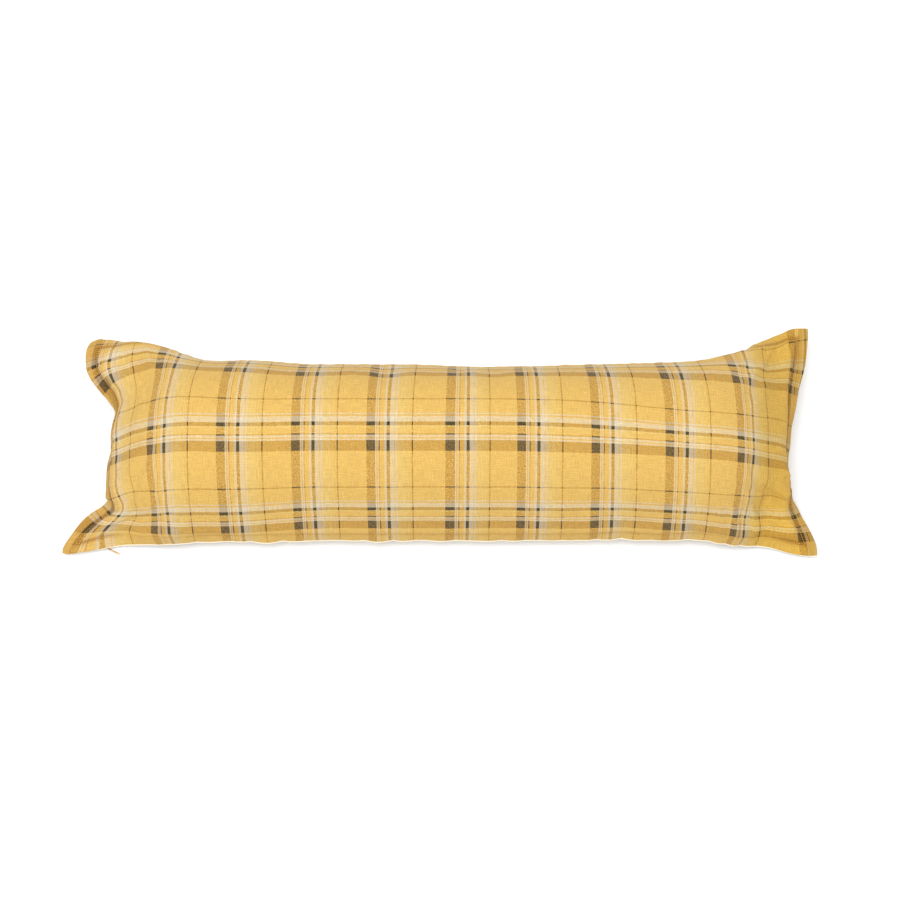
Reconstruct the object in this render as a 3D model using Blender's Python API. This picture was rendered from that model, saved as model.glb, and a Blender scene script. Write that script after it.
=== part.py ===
"""Extra-long flanged lumbar pillow, lying on its back on a flat surface.

Two flat panels are sewn together 16 mm inside their edge and filled. The solid is worked out
from the flat panels: a point keeps its place (p along the length, q across the width, both
measured on the flat cloth), the filling lifts it to a height, and each thread keeps its own
length, so the sides draw in and the corners stay out as ears.

Metres, +Z up, +X along the length. The origin is on the resting surface under the middle.
"""
import math

import bmesh
import bpy
import numpy as np
from mathutils import Vector

# Driving dimensions of the two panels
FLAT_LENGTH = 1.016         # finished panel, edge to edge
FLAT_WIDTH = 0.3556
FLANGE_WIDTH = 0.016        # stitched margin outside the seam
FLANGE_THICKNESS = 0.0026   # four layers of cloth

# How the filling stands
NEAR_SEAM_HEIGHT = 0.038    # at the middle of the near long side
SECTION_RADIUS = 0.0957     # of the front's arc across the width, at its highest thread
SECTION_TOP = 0.0191        # where that thread is, from the panel's middle
SECTION_EASING = 103.5      # how fast the arc opens out away from it, radians per cubic metre
BACK_CROWN = 0.090          # the back would fall this far below the seams, but the surface stops it
END_ROLL = 0.180            # the crown rolls off over this much cloth at each end
FLANGE_FOOT = 0.0030        # the flange's edge stays this far above the surface
FLANGE_STIFF = 0.035        # bends of the seam shorter than this are evened out in the flange
SKEW_REACH = 0.060          # how far from a corner the flange's threads lie askew

# Where each corner of the seam stands: its height, its shift from where the threads put it, and
# how much cloth along and across this takes. end: -1 left, 1 right. side: -1 near, 1 far.
# round: the share by which the flange's corner is cut.
CORNERS = (
    {"end": -1, "side": -1, "height": 0.0170, "shift_x": 0.000, "shift_y": 0.046,
     "along": 0.142, "across": 0.110, "round": 0.24},
    {"end": 1, "side": -1, "height": 0.0170, "shift_x": -0.030, "shift_y": 0.047,
     "along": 0.165, "across": 0.150, "round": 0.13},
    {"end": -1, "side": 1, "height": 0.0720, "shift_x": 0.008, "shift_y": -0.013,
     "along": 0.085, "across": 0.150, "round": 0.22},
    {"end": 1, "side": 1, "height": 0.0460, "shift_x": -0.013, "shift_y": 0.006,
     "along": 0.102, "across": 0.130, "round": 0.06},
)
# Droop of the flange from the level along each side: place on the flat cloth, degrees
FLANGE_DROOP = {
    "left": ((-0.162, 10), (-0.143, 16), (-0.118, 44), (-0.090, 60), (0.050, 66), (0.105, 34), (0.162, 20)),
    "right": ((-0.162, 12), (-0.125, 40), (-0.085, 80), (-0.033, 84), (0.015, 56), (0.100, 34),
              (0.162, 14)),
    "near": ((-0.492, 30), (-0.455, 56), (-0.405, 82), (0.400, 82), (0.452, 60), (0.492, 28)),
    "far": ((-0.492, 24), (-0.450, 60), (-0.400, 78), (-0.340, 85), (0.388, 85), (0.425, 64),
            (0.465, 38), (0.492, 12)),
}

# How far the ends are drawn in further, where on the cloth, and how far it reaches
END_DRAWS = (
    {"end": -1, "q": 0.079, "reach": 0.062, "depth": 0.0185},
    {"end": -1, "q": -0.0935, "reach": 0.095, "depth": 0.0170},
    {"end": -1, "q": -0.1160, "reach": 0.085, "depth": 0.0150},
    {"end": 1, "q": -0.035, "reach": 0.065, "depth": 0.0100},
    {"end": 1, "q": -0.108, "reach": 0.082, "depth": 0.0132},
    {"end": 1, "q": 0.055, "reach": 0.090, "depth": 0.0085},
    {"end": 1, "q": 0.010, "reach": 0.190, "depth": 0.0070},
    {"end": -1, "q": 0.000, "reach": 0.150, "depth": 0.0010},
)
END_DRAW_ALONG = 0.140

# Places on the flat cloth that the filling pushes or pulls: reach and the move it makes
PUSHES = (
    {"p": -0.395, "q": -0.162, "along": 0.085, "across": 0.080, "move": (0.0, 0.0090, 0.0)},
    {"p": 0.050, "q": 0.162, "along": 0.140, "across": 0.070, "move": (0.0, -0.0045, 0.0)},
    {"p": 0.220, "q": -0.162, "along": 0.060, "across": 0.080, "move": (0.0, 0.0030, 0.0)},
    {"p": 0.340, "q": -0.162, "along": 0.090, "across": 0.080, "move": (0.0, 0.0035, 0.0)},
    {"p": -0.390, "q": 0.150, "along": 0.085, "across": 0.110, "move": (0.0, 0.0060, 0.0)},
    {"p": -0.280, "q": 0.142, "along": 0.100, "across": 0.140, "move": (0.0, 0.0, 0.0075)},
    {"p": 0.280, "q": 0.142, "along": 0.100, "across": 0.140, "move": (0.0, 0.0, 0.003)},
    {"p": 0.360, "q": 0.142, "along": 0.100, "across": 0.140, "move": (0.0, 0.0, 0.006)},
    {"p": -0.492, "q": -0.162, "along": 0.060, "across": 0.070, "move": (-0.0180, -0.0050, 0.0)},
    {"p": -0.492, "q": -0.162, "along": 0.026, "across": 0.040, "move": (-0.0060, -0.0060, 0.0)},
    {"p": -0.455, "q": -0.162, "along": 0.040, "across": 0.050, "move": (0.0, 0.0045, 0.0)},
    {"p": 0.492, "q": -0.162, "along": 0.060, "across": 0.060, "move": (0.0095, -0.0110, 0.0)},
    {"p": 0.492, "q": 0.162, "along": 0.045, "across": 0.045, "move": (-0.0035, 0.0042, 0.004)},
)

# Cells of the grid over the flat cloth, the flanges included
CELLS_ALONG = 64
CELLS_ACROSS = 28
EDGE_CROWDING = 0.30        # 0 spaces the grid evenly, more draws its lines to the seams
BASE_SNAP = 0.0015          # the back lies flat where it would be lower than this
RELAXATIONS = 6             # rounds in which the threads settle on the level

# Zip in the near seam, at the back. Only its closed end at the left has metal pieces; places
# are measured from the seam grid's middle, before the whole pillow is centred.
PIECE_GAP = 0.0003          # between pieces that touch
SLIDER_AT = (-0.4678, -0.1153)
SLIDER_LENGTH = 0.0088
SLIDER_WIDTH = 0.0046
SLIDER_TOP = 0.0082
SLIDER_BOTTOM = 0.0057
SLIDER_TAPER = 0.74         # of its width, at the end that closes the teeth
POST_RADIUS = 0.0007        # the post on which the pull turns
PULL_BOTTOM = 0.0032        # at the eye
PULL_THICKNESS = 0.0012
PULL_LENGTH = 0.0262        # from the post to the tip
PULL_HEAD_RADIUS = 0.0018
PULL_TIP_RADIUS = 0.0012
PULL_NECK = 0.0009          # half the width of its slimmest place
PULL_TURN = math.radians(-24)
PULL_TILT = math.radians(6)   # the tip is the lower end
ROUND_STEPS = 20


def ease(distance, reach):
    """1 at distance 0, falling smoothly to 0 at reach and beyond."""
    return 0.5 * (1.0 + np.cos(np.pi * np.clip(distance / reach, 0.0, 1.0)))


def seam_lines(half, cells):
    """Grid lines from seam to seam on the flat cloth, closer together near the seams."""
    even = np.linspace(-1.0, 1.0, cells - 1)
    crowded = np.sin(0.5 * np.pi * even)
    return (half - FLANGE_WIDTH) * ((1.0 - EDGE_CROWDING) * even + EDGE_CROWDING * crowded)


def section(q):
    """Height of the front's arc over its near seam, and over its far seam.

    The arc's slope angle is the cloth's distance from the highest thread over the radius, less
    the easing times that distance cubed, and the height is the running sum of its sine.
    """
    seam_q = 0.5 * FLAT_WIDTH - FLANGE_WIDTH
    fine = np.linspace(-seam_q, seam_q, 801)
    past = SECTION_TOP - fine
    sine = np.sin(past / SECTION_RADIUS - SECTION_EASING * past ** 3)
    climb = 0.5 * (sine[1:] + sine[:-1]) * np.diff(fine)
    height = np.concatenate(((0.0,), np.cumsum(climb)))
    return np.interp(q, fine, height), height[-1]


def along_thread(flat, height, sideways, axis):
    """Where a thread's points lie on the level: each cell keeps its length while it climbs.

    The run of a cell is the square root of its flat length squared less its climb and its
    sideways drift squared. The runs are added up along the thread, from 0 at its start.
    """
    length = np.diff(flat, axis=axis)
    spent = np.diff(height, axis=axis) ** 2 + np.diff(sideways, axis=axis) ** 2
    run = np.cumsum(np.sqrt(np.maximum(length ** 2 - spent, 0.01 * length ** 2)), axis=axis)
    start = np.zeros_like(np.take(run, [0], axis=axis))
    return np.concatenate((start, run), axis=axis)


def corner_field(p, q, corner, along, across):
    """1 at one corner of the seam, easing to 0 along and across the cloth."""
    seam_p = corner["end"] * (0.5 * FLAT_LENGTH - FLANGE_WIDTH)
    seam_q = corner["side"] * (0.5 * FLAT_WIDTH - FLANGE_WIDTH)
    return ease(np.abs(p - seam_p), along) * ease(np.abs(q - seam_q), across)


def sewn_panels():
    """Front and back panel from seam to seam, and the flat places p and q."""
    p, q = np.meshgrid(seam_lines(0.5 * FLAT_LENGTH, CELLS_ALONG),
                       seam_lines(0.5 * FLAT_WIDTH, CELLS_ACROSS), indexing="ij")
    seam_p = 0.5 * FLAT_LENGTH - FLANGE_WIDTH
    seam_q = 0.5 * FLAT_WIDTH - FLANGE_WIDTH
    into_roll = np.clip((np.abs(p) - seam_p + END_ROLL) / END_ROLL, 0.0, 1.0)
    filled = np.cos(0.5 * np.pi * into_roll)

    arc, far_rise = section(q)
    across = 0.5 + 0.5 * q / seam_q
    seam = NEAR_SEAM_HEIGHT + far_rise * across
    shift = np.zeros(p.shape + (2,))
    for corner in CORNERS:
        near = corner_field(p, q, corner, corner["along"], corner["across"])
        usual = NEAR_SEAM_HEIGHT + (far_rise if corner["side"] > 0 else 0.0)
        seam += near * (corner["height"] - usual)
        shift += near[..., None] * np.array((corner["shift_x"], corner["shift_y"]))
    for draw in END_DRAWS:
        near = ease(np.abs(p - draw["end"] * seam_p), END_DRAW_ALONG)
        near *= ease(np.abs(q - draw["q"]), draw["reach"])
        shift[..., 0] -= draw["end"] * draw["depth"] * near
    for push in PUSHES:
        near = ease(np.abs(p - push["p"]), push["along"]) * ease(np.abs(q - push["q"]), push["across"])
        shift += near[..., None] * np.array(push["move"][:2])
        seam += near * push["move"][2]

    top = seam + filled * (arc - far_rise * across)
    bottom = seam - BACK_CROWN * filled * np.cos(0.5 * np.pi * q / seam_q)
    bottom = np.where(bottom < BASE_SNAP, 0.0, bottom)
    x, y = p.copy(), q.copy()
    for settling in range(RELAXATIONS):
        run_x, run_y = along_thread(p, top, y, 0), along_thread(q, top, x, 1)
        x = 0.5 * (x + run_x - run_x[len(run_x) // 2])
        y = 0.5 * (y + run_y - 0.5 * run_y[:, -1:])
    x += shift[..., 0]
    y += shift[..., 1]
    return np.stack((x, y, top), -1), np.stack((x, y, bottom), -1), p, q


def unit(vectors):
    return vectors / np.linalg.norm(vectors, axis=-1, keepdims=True)


def eased_steps(place, knots):
    """Values between knots, passing from each to the next along half a cosine wave."""
    at, value = np.array(knots, float).T
    step = np.clip(np.searchsorted(at, place, side="right") - 1, 0, len(at) - 2)
    share = np.clip((place - at[step]) / (at[step + 1] - at[step]), 0.0, 1.0)
    return value[step] + (value[step + 1] - value[step]) * (0.5 - 0.5 * np.cos(np.pi * share))


def side_droop(name, place, height):
    """Droop of the flange along one side, in radians: its knots', unless the surface is too near.

    Its sine is at most the seam's height over the flange's foot, over the flange's width.
    """
    room = np.clip((height - FLANGE_FOOT) / FLANGE_WIDTH, 0.08, 1.0)
    return np.minimum(np.radians(eased_steps(place, FLANGE_DROOP[name])), np.arcsin(room))


def flange_frame(seam_line, level_out, droop, run_on):
    """Direction in which the flange hangs from a seam line, and the normal of its upper face.

    The flange lies square to the seam, evened out along it, and is turned down from the level
    by its droop. Near a corner it turns to the way the other seam runs on, as its threads do.
    """
    along = unit(np.gradient(seam_line, axis=0))
    level = unit(level_out - along * (along @ level_out)[:, None])
    place = np.concatenate(((0.0,), np.cumsum(np.linalg.norm(np.diff(seam_line, axis=0), axis=1))))
    level = unit(ease(np.abs(place[:, None] - place), FLANGE_STIFF) @ level)
    for away, onward in ((place, run_on[0]), (place[-1] - place, run_on[1])):
        level = unit(level + ease(away, SKEW_REACH)[:, None] * (onward - level))
    up = np.cross(along, level)
    up *= np.sign(up[:, 2:3])
    down = droop[:, None]
    return np.cos(down) * level - np.sin(down) * up, np.cos(down) * up + np.sin(down) * level


def with_flange(seam, p, q):
    """Adds the flange's outer line round a seam grid, and gives the flange's normals on it.

    The outer point is the seam point plus the flange's width along its hanging direction. A
    corner adds both sides' directions, cut by its roundness.
    """
    rows, columns = seam.shape[:2]
    grid = np.zeros((rows + 2, columns + 2, 3))
    grid[1:-1, 1:-1] = seam
    normal = np.zeros_like(grid)
    out = np.zeros_like(grid)
    borders = {
        "left": {"inner": np.s_[1, 1:-1], "outer": np.s_[0, 1:-1], "place": q[0],
                 "level": (-1.0, 0.0, 0.0), "onward": seam[0, (0, -1)] - seam[2, (0, -1)]},
        "right": {"inner": np.s_[-2, 1:-1], "outer": np.s_[-1, 1:-1], "place": q[0],
                  "level": (1.0, 0.0, 0.0), "onward": seam[-1, (0, -1)] - seam[-3, (0, -1)]},
        "near": {"inner": np.s_[1:-1, 1], "outer": np.s_[1:-1, 0], "place": p[:, 0],
                 "level": (0.0, -1.0, 0.0), "onward": seam[(0, -1), 0] - seam[(0, -1), 2]},
        "far": {"inner": np.s_[1:-1, -2], "outer": np.s_[1:-1, -1], "place": p[:, 0],
                "level": (0.0, 1.0, 0.0), "onward": seam[(0, -1), -1] - seam[(0, -1), -3]},
    }
    for name, border in borders.items():
        line = grid[border["inner"]]
        droop = side_droop(name, border["place"], line[:, 2])
        run_on = unit(border["onward"] * (1.0, 1.0, 0.0))
        hang, up = flange_frame(line, np.array(border["level"]), droop, run_on)
        grid[border["outer"]] = line + FLANGE_WIDTH * hang
        out[border["inner"]] += hang
        normal[border["inner"]] += up
        normal[border["outer"]] = up
    for corner in CORNERS:
        row, column = (0 if corner["end"] < 0 else -1), (0 if corner["side"] < 0 else -1)
        inner = (1 if row == 0 else -2, 1 if column == 0 else -2)
        grid[row, column] = grid[inner] + FLANGE_WIDTH * (1.0 - corner["round"]) * out[inner]
        normal[row, column] = normal[inner]
    unset = np.abs(normal).sum(axis=-1, keepdims=True) == 0.0
    return grid, unit(np.where(unset, (0.0, 0.0, 1.0), normal))


def pillow_mesh():
    """The filled body with its flange: a front grid and a back grid joined round their edge."""
    top, bottom, p, q = sewn_panels()
    seam_grid, normal = with_flange(top, p, q)
    half = 0.5 * FLANGE_THICKNESS
    front = seam_grid + half * normal
    back = seam_grid - half * normal
    front[2:-2, 2:-2] = top[1:-1, 1:-1]
    back[2:-2, 2:-2] = bottom[1:-1, 1:-1]
    back[..., 2] = np.maximum(back[..., 2], 0.0)
    front[..., 2] = np.maximum(front[..., 2], back[..., 2] + FLANGE_THICKNESS * normal[..., 2])

    rows, columns = front.shape[:2]
    index = np.arange(rows * columns).reshape(rows, columns)
    cells = np.stack((index[:-1, :-1], index[1:, :-1], index[1:, 1:], index[:-1, 1:]), -1).reshape(-1, 4)
    rim = np.concatenate((index[:-1, 0], index[-1, :-1], index[:0:-1, -1], index[0, :0:-1]))
    count = rows * columns
    side = np.stack((rim, rim + count, np.roll(rim, -1) + count, np.roll(rim, -1)), -1)
    faces = np.concatenate((cells, cells[:, ::-1] + count, side))
    points = np.concatenate((front.reshape(-1, 3), back.reshape(-1, 3)))
    return points, faces


def make_material(name, colour, roughness, metallic):
    material = bpy.data.materials.new(name)
    material.use_nodes = True
    shader = material.node_tree.nodes["Principled BSDF"]
    shader.inputs["Base Color"].default_value = colour
    shader.inputs["Roughness"].default_value = roughness
    shader.inputs["Metallic"].default_value = metallic
    return material


def make_object(name, mesh, material):
    part = bpy.data.objects.new(name, mesh)
    mesh.materials.append(material)
    bpy.context.scene.collection.objects.link(part)
    return part


def build_pillow(material):
    """The filled pillow, centred, with its resting face made one flat face. Returns its shift."""
    points, faces = pillow_mesh()
    low, high = points.min(axis=0), points.max(axis=0)
    shift = np.array((-0.5 * (low[0] + high[0]), -0.5 * (low[1] + high[1]), 0.0))
    mesh = bpy.data.meshes.new("pillow")
    mesh.from_pydata((points + shift).tolist(), [], faces.tolist())
    body = bmesh.new()
    body.from_mesh(mesh)
    resting = [face for face in body.faces if all(vertex.co.z == 0.0 for vertex in face.verts)]
    bmesh.ops.dissolve_faces(body, faces=resting)
    bmesh.ops.triangulate(body, faces=[face for face in body.faces if len(face.verts) == 4])
    body.to_mesh(mesh)
    body.free()
    mesh.shade_smooth()
    make_object("pillow", mesh, material)
    return Vector(shift)


def prism(outline, bottom, top):
    """A closed solid that stands on an outline, counter-clockwise from above."""
    body = bmesh.new()
    lower = [body.verts.new((x, y, bottom)) for x, y in outline]
    upper = [body.verts.new((x, y, top)) for x, y in outline]
    body.faces.new(lower[::-1])
    body.faces.new(upper)
    for start in range(len(outline)):
        end = (start + 1) % len(outline)
        body.faces.new((lower[start], lower[end], upper[end], upper[start]))
    mesh = bpy.data.meshes.new("prism")
    body.to_mesh(mesh)
    body.free()
    return mesh


def circle(radius, centre=(0.0, 0.0), steps=ROUND_STEPS):
    turn = 2.0 * np.pi * np.arange(steps) / steps
    return list(zip(centre[0] + radius * np.cos(turn), centre[1] + radius * np.sin(turn)))


def operand(name, mesh):
    """A guide that a Boolean reads, left out of the build."""
    guide = bpy.data.objects.new(name, mesh)
    guide.hide_render = True
    guide.display_type = "WIRE"
    bpy.context.scene.collection.objects.link(guide)
    return guide


def add_boolean(part, guide, operation):
    cut = part.modifiers.new(operation.lower(), "BOOLEAN")
    cut.operation = operation
    cut.object = guide


def add_bevel(part, width):
    bevel = part.modifiers.new("eased edges", "BEVEL")
    bevel.width = width
    bevel.segments = 2
    bevel.limit_method = "ANGLE"
    bevel.angle_limit = math.radians(40)


def build_slider(material, shift):
    """The slider under the seam: a body that narrows to the right, and the pull's post below it."""
    half, wide = 0.5 * SLIDER_LENGTH, 0.5 * SLIDER_WIDTH
    narrow = SLIDER_TAPER * wide
    outline = ((-half, -wide), (0.0, -wide), (half, -narrow), (half, narrow), (0.0, wide), (-half, wide))
    place = Vector((SLIDER_AT[0], SLIDER_AT[1], 0.0)) + shift
    slider = make_object("zip_slider", prism(outline, SLIDER_BOTTOM, SLIDER_TOP), material)
    middle = 0.5 * (SLIDER_BOTTOM + SLIDER_TOP)
    post = operand("zip_slider_post", prism(circle(POST_RADIUS), PULL_BOTTOM, middle))
    slider.location = place
    post.location = place
    add_bevel(slider, 0.0004)
    add_boolean(slider, post, "UNION")


def pull_outline():
    """Round head, slim neck and round tip: the edge eases from each round into the neck."""
    head = np.radians(np.linspace(60.0, 300.0, 13))
    tip = np.radians(np.linspace(-70.0, 70.0, 9))
    along = np.linspace(0.12, 0.90, 7) * PULL_LENGTH
    to_tip = PULL_NECK + (PULL_TIP_RADIUS - PULL_NECK) * (along / PULL_LENGTH) ** 2
    tip_x = PULL_LENGTH - PULL_TIP_RADIUS
    points = list(zip(PULL_HEAD_RADIUS * np.cos(head), PULL_HEAD_RADIUS * np.sin(head)))
    points += list(zip(along, -to_tip))
    points += list(zip(tip_x + PULL_TIP_RADIUS * np.cos(tip), PULL_TIP_RADIUS * np.sin(tip)))
    points += list(zip(along[::-1], to_tip[::-1]))
    return points


def build_pull(material, shift):
    """The slim flat pull, hanging by the eye in its head and showing past the flange."""
    half = 0.5 * PULL_THICKNESS
    pull = make_object("zip_pull", prism(pull_outline(), -half, half), material)
    pull.rotation_euler = (0.0, PULL_TILT, PULL_TURN)
    hole = operand("zip_pull_eye", prism(circle(POST_RADIUS + PIECE_GAP), -4.0 * half, 4.0 * half))
    for piece in (pull, hole):
        piece.location = Vector((SLIDER_AT[0], SLIDER_AT[1], PULL_BOTTOM + half)) + shift
    add_boolean(pull, hole, "DIFFERENCE")


def main():
    for leftover in list(bpy.data.objects):
        bpy.data.objects.remove(leftover, do_unlink=True)
    cloth = make_material("plaid_cloth", (0.72, 0.50, 0.13, 1.0), 0.9, 0.0)
    brass = make_material("aged_brass", (0.42, 0.23, 0.08, 1.0), 0.35, 1.0)
    shift = build_pillow(cloth)
    build_slider(brass, shift)
    build_pull(brass, shift)


main()
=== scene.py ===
"""Looks of an extra-long flanged lumbar pillow: plaid front, cream back, seam stitches and zip pull.

Metres, +Z up, +X along the length. The cloth is worked out from its flat panels: p lies along a
panel and q across it, from its middle. The filling lifts each place, every thread keeps its own
length, and so the sides draw in between the corners.
"""
import math

import bpy
import numpy as np
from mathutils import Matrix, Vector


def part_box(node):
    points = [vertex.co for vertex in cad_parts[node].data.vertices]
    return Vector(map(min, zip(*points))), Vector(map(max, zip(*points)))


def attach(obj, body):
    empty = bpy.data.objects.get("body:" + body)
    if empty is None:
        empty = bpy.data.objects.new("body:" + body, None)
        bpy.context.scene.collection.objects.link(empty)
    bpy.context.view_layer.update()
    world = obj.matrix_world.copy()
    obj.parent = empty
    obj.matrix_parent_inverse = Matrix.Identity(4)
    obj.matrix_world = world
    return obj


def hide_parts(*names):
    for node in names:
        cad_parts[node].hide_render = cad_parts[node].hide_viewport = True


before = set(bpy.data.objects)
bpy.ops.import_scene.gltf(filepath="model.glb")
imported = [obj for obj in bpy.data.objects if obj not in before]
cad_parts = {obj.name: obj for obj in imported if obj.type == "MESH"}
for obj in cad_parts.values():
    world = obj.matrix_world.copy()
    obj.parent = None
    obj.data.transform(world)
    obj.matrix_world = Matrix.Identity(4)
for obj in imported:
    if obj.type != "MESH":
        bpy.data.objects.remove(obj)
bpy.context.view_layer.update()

bl_info = {
    "name": "Flanged Lumbar Pillow",
    "version": (1, 0, 0),
    "blender": (4, 5, 0),
    "location": "View3D > Sidebar > Pillow",
    "description": "Builds the cloth, stitching, zip pull and stage of a plaid lumbar pillow",
    "category": "Add Mesh",
}

PILLOW_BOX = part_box("pillow")
PULL_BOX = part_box("zip_pull")
MM = 0.001


def table(names, *rows):
    """Rows of values as dictionaries, by the names of the columns."""
    return tuple(dict(zip(names.split(), row)) for row in rows)


# The settling: Blender's cloth on a coarse front, softly held in place
SETTLING_GRID = 0.005
SETTLING_FRAMES, HUNG_BY = 24, 8  # frames it runs, and takes to come to its place
HOLD, END_HOLD, END_REACH = 0.5, 0.15, 0.16  # the hold, and less of it this near the ends
CLOTH_SETTINGS = dict(
    quality=6, mass=0.15, tension_stiffness=30.0, compression_stiffness=30.0, shear_stiffness=1.0,
    bending_stiffness=10.0, air_damping=2.0, vertex_group_mass="held", pin_stiffness=1.0,
    use_pressure=True, uniform_pressure_force=8.0)
SETTLED_SHARE, MOST_SETTLED = 0.35, 0.0035  # of its move, and the furthest that a point moves

# Corners of the seam, end -1 left, 1 right, side -1 near, 1 far: height, shift from where the
# threads put it, cloth along and across that this takes, and share by which its flange is cut
CORNERS = table(
    "end side height shift along across round",
    (-1, -1, 0.017, (0, 0.046), 0.142, 0.11, 0.24),
    (1, -1, 0.017, (-0.03, 0.047), 0.165, 0.15, 0.13),
    (-1, 1, 0.072, (0.008, -0.013), 0.085, 0.15, 0.22),
    (1, 1, 0.046, (-0.013, 0.006), 0.102, 0.13, 0.06),
)
# Sides of the panels: name, axis of their grids that runs across it, and its row there
SIDES = (("left", 0, 0), ("right", 0, -1), ("near", 1, 0), ("far", 1, -1))
# Droop of the flange from the level along each side: flat place, degrees
FLANGE_DROOP = {
    "left": ((-0.162, 10), (-0.143, 16), (-0.118, 44), (-0.09, 60), (0.05, 66), (0.105, 34), (0.162, 20)),
    "right": ((-0.162, 12), (-0.125, 40), (-0.085, 80), (-0.033, 84), (0.015, 56), (0.1, 34),
              (0.162, 14)),
    "near": ((-0.492, 30), (-0.455, 56), (-0.405, 82), (0.4, 82), (0.452, 60), (0.492, 28)),
    "far": ((-0.492, 24), (-0.45, 60), (-0.4, 78), (-0.34, 85), (0.388, 85), (0.425, 64),
            (0.465, 38), (0.492, 12)),
}
DROOP_WAVE, DROOP_SEED = 6.0, 21  # degrees that a seeded wave takes off it
DROOP_WAVES = (0.16, 0.05)  # its longest and shortest wave
FLANGE_FOOT = 0.003  # the flange's edge stays this far above the surface
LEAST_ROOM = 0.08  # and is let down by at least this share of its width
FLANGE_STIFF = 0.035  # it evens out bends of the seam shorter than this
SKEW_REACH = 0.06  # how far from a corner its threads lie askew

# Where the ends are drawn in further, over what reach, and how far
END_DRAWS = table(
    "end q across depth",
    (-1, 0.079, 0.062, 0.0185), (-1, -0.0935, 0.095, 0.017), (-1, -0.116, 0.085, 0.015),
    (1, -0.035, 0.065, 0.01), (1, -0.108, 0.082, 0.0132), (1, 0.055, 0.09, 0.0085),
    (1, 0.01, 0.19, 0.007), (-1, 0, 0.15, 0.001),
)
END_DRAW_ALONG = 0.14  # their reach along the cloth

# Places that the filling pushes or pulls: reach and the move it makes
PUSHES = table(
    "p q along across move",
    (-0.395, -0.162, 0.085, 0.08, (0, 0.009, 0)), (0.05, 0.162, 0.14, 0.07, (0, -0.0045, 0)),
    (0.22, -0.162, 0.06, 0.08, (0, 0.003, 0)), (0.34, -0.162, 0.09, 0.08, (0, 0.0035, 0)),
    (-0.39, 0.15, 0.085, 0.11, (0, 0.006, 0)), (-0.28, 0.142, 0.1, 0.14, (0, 0, 0.0075)),
    (0.28, 0.142, 0.1, 0.14, (0, 0, 0.003)), (0.36, 0.142, 0.1, 0.14, (0, 0, 0.006)),
    (-0.492, -0.162, 0.06, 0.07, (-0.018, -0.005, 0)), (-0.492, -0.162, 0.026, 0.04, (-0.006, -0.006, 0)),
    (-0.455, -0.162, 0.04, 0.05, (0, 0.0045, 0)), (0.492, -0.162, 0.06, 0.06, (0.0095, -0.011, 0)),
    (0.492, 0.162, 0.045, 0.045, (-0.0035, 0.0042, 0.004)),
)
SECTION_TOP = 0.0191  # the highest thread, from the panel's middle
SECTION_EASING = 103.5  # how fast the arc opens out from it, radians per cubic metre
SECTION_STEPS = 801
BACK_CROWN = 0.09  # most that the back hangs below the seams
BASE_SNAP = 0.0015  # the back lies flat where it would be lower than this
RELAXATIONS = 6  # rounds in which the threads settle on the level

# Seeded waves of the front: height, and each ripple's longest wave, shortest wave and seed
UNDULATIONS = 0.9 * MM, (0.3, 0.11, 3), (0.26, 0.1, 5)
DIMPLES = 0.35 * MM, (0.08, 0.045, 8), (0.12, 0.06, 9)
# Puckers of the seams: height, ripple, fading, and the far seam's or right end's start along it
SIDE_PUCKERS = 0.6 * MM, (0.045, 0.014, 11), 0.016, 0.35
END_PUCKERS = 0.75 * MM, (0.05, 0.016, 12), 0.02, 0.5
RIPPLE_WAVES = 12
# Hollows (negative) and swellings where the filling has settled
HOLLOWS = table(
    "p q along across lift",
    (-0.088, 0.098, 0.034, 0.07, -0.0032), (0.052, 0.1, 0.03, 0.06, -0.0024),
    (-0.128, 0.1, 0.034, 0.07, 0.0016),
)
# Folds from the ears and the far seam into the body: both ends, half width, lift of the ridge
FOLDS = table(
    "start end half lift",
    ((-0.489, -0.158), (-0.425, -0.118), 0.01, -0.005),
    ((-0.478, -0.15), (-0.405, -0.135), 0.009, 0.003),
    ((0.489, -0.158), (0.43, -0.112), 0.011, -0.0045),
    ((0.48, -0.148), (0.405, -0.128), 0.01, 0.0028),
    ((-0.486, 0.155), (-0.42, 0.095), 0.012, -0.003),
    ((0.487, 0.156), (0.425, 0.09), 0.012, -0.0035),
    ((-0.126, 0.138), (-0.121, 0.07), 0.011, -0.0024),
    ((0.009, 0.138), (0.004, 0.085), 0.012, -0.0016),
)
FOLD_FADE, FOLD_NARROW = 0.7, 0.6  # power by which a fold fades, and share it starts wide
SEWN_DOWN = 0.003  # all of these fade this near the seam
# The filling swells over each seam: by how much, and how far from the seam it is most
END_SWELL, SIDE_SWELL = (0.0085, 0.011), (0.004, 0.007)
SWELL_CORNER = 0.016  # both run out over this much cloth toward a corner
LEAST_FILLING = 0.45  # the front sinks by at most this share of the filling under it

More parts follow.
